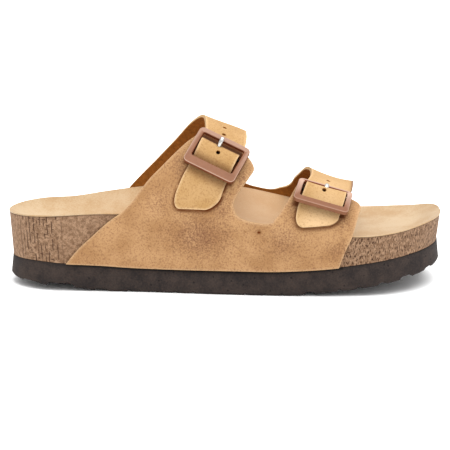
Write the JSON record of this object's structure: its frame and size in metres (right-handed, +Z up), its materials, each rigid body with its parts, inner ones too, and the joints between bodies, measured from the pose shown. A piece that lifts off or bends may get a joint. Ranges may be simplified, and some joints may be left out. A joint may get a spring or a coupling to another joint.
{
  "type": "two-strap footbed sandal",
  "caption": "Open backless slip-on sandal with wide leather straps, each held by a buckle, over a contoured cork footbed on a thick soft outsole.",
  "frame": {"origin": "middle of the outer box in plan, on the floor", "axes": "+X to the toe, +Y to the inner side of the foot, +Z up from the floor"},
  "size_m": [0.2613, 0.1034, 0.1002],
  "materials": {
    "outsole": "fine-grained dark brown foam rubber",
    "footbed": "pressed cork granules, sealed",
    "insole": "tan suede",
    "upper": "tan oiled nubuck",
    "buckle_frame": "glossy brown moulded resin",
    "buckle_pin": "polished steel wire"
  },
  "bodies": {
    "root": {"outsole": "outsole", "footbed": "footbed", "insole": "insole", "upper": "upper", "instep_buckle_frame": "buckle_frame", "instep_buckle_pin": "buckle_pin", "toe_buckle_frame": "buckle_frame", "toe_buckle_pin": "buckle_pin"}
  },
  "joints": []
}
